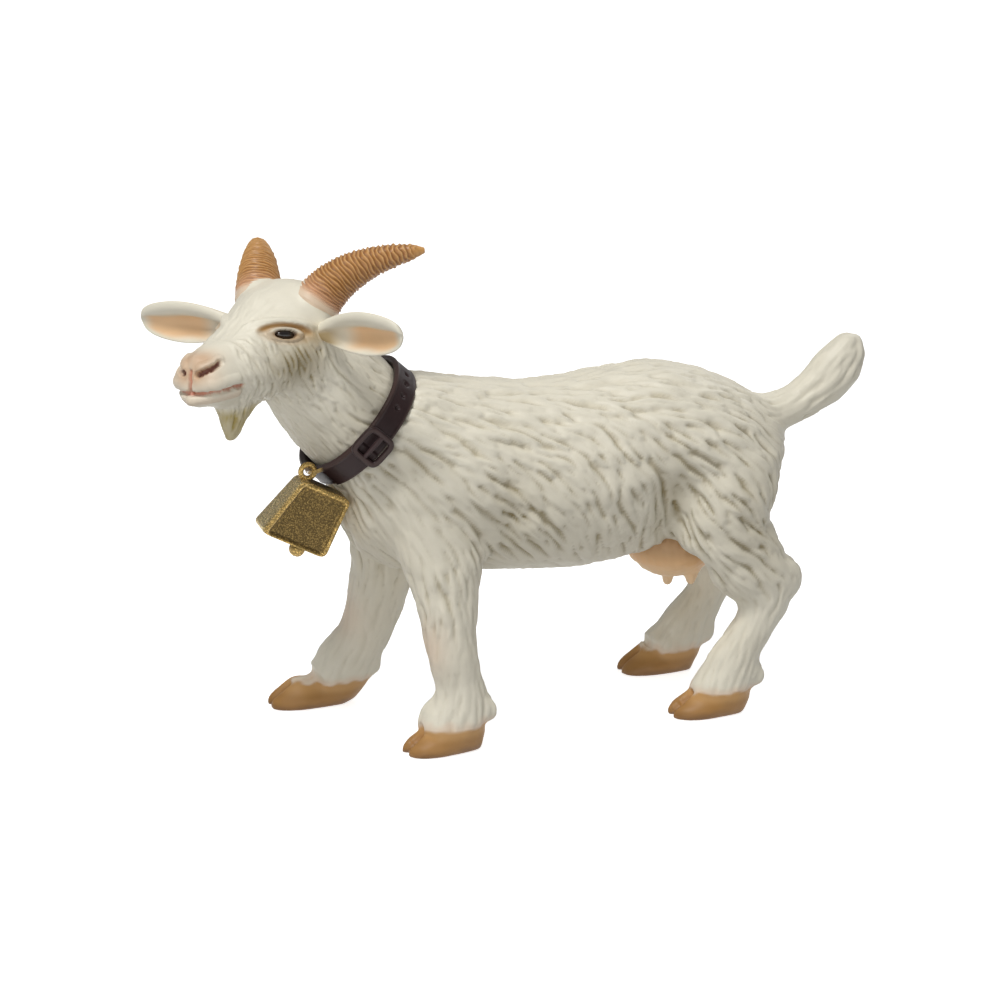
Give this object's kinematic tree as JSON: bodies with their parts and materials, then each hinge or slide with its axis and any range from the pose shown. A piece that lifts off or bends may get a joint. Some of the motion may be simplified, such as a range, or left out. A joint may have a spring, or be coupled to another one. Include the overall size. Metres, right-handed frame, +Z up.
{
  "type": "goat figurine",
  "caption": "Moulded PVC figurine of a standing white goat with ringed horns, a raised tail, an udder and a buckled collar from which a cowbell swings.",
  "frame": {"origin": "on the floor, in the middle of the figurine's bounding box", "axes": "+X from the nose towards the tail, -Y to the goat's left, +Z up"},
  "size_m": [0.0926, 0.0364, 0.0633],
  "materials": {
    "coat": "matt white paint with a thin olive wash in the fur grooves",
    "leg_coat": "matt white paint, tan at the hoof",
    "head_coat": "matt white paint with tan, olive and dark red touches",
    "tail_coat": "matt white paint",
    "ear_coat": "white outside, peach in the hollow",
    "horn_coat": "ochre paint, satin",
    "udder_coat": "peach to orange-brown paint",
    "strap_paint": "very dark brown paint, satin",
    "buckle_paint": "very dark brown paint, satin",
    "bell_paint": "gold glitter paint"
  },
  "bodies": {
    "goat": {"torso": "coat", "front_leg_left": "leg_coat", "front_leg_right": "leg_coat", "hind_leg_left": "leg_coat", "hind_leg_right": "leg_coat", "head": "head_coat", "ear_left": "ear_coat", "ear_right": "ear_coat", "horn_left": "horn_coat", "horn_right": "horn_coat", "tail": "tail_coat", "udder": "udder_coat", "collar_strap": "strap_paint", "collar_buckle": "buckle_paint", "buckle_prong": "buckle_paint", "bell_staple": "bell_paint"},
    "bell": {"bell_shell": "bell_paint", "bell_clapper": "bell_paint"}
  },
  "joints": [
    {"name": "bell_swing", "type": "hinge", "parent": "goat", "child": "bell", "pos_m": [-0.02941, -0.00303, 0.03605], "axis": [0, 1, 0], "range_deg": [-2, 40]}
  ]
}
